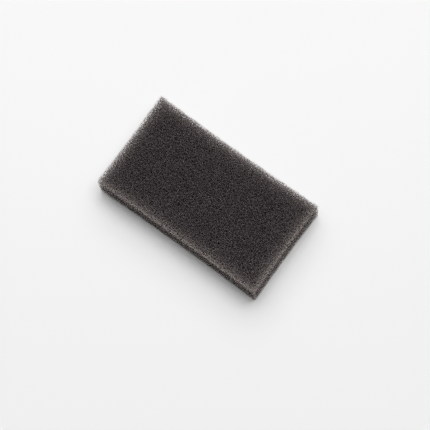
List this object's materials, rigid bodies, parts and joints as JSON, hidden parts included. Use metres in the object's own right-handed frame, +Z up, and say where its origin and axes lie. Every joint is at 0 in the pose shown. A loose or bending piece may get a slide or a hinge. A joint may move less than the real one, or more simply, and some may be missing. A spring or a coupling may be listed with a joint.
{
  "type": "foam air filter element",
  "caption": "Rectangular block of charcoal reticulated open-cell foam that lies in a small engine's air filter tray.",
  "frame": {"origin": "centre of the bottom face, the clean side that lies on the tray", "axes": "+X along the length, +Y across the width, +Z up through the thickness, out of the dirty side"},
  "size_m": [0.076, 0.0424, 0.019],
  "materials": {
    "filter_foam": "open-cell reticulated polyurethane foam, charcoal, matte in the mass with faintly shiny struts"
  },
  "bodies": {
    "root": {"foam_element": "filter_foam"}
  },
  "joints": []
}
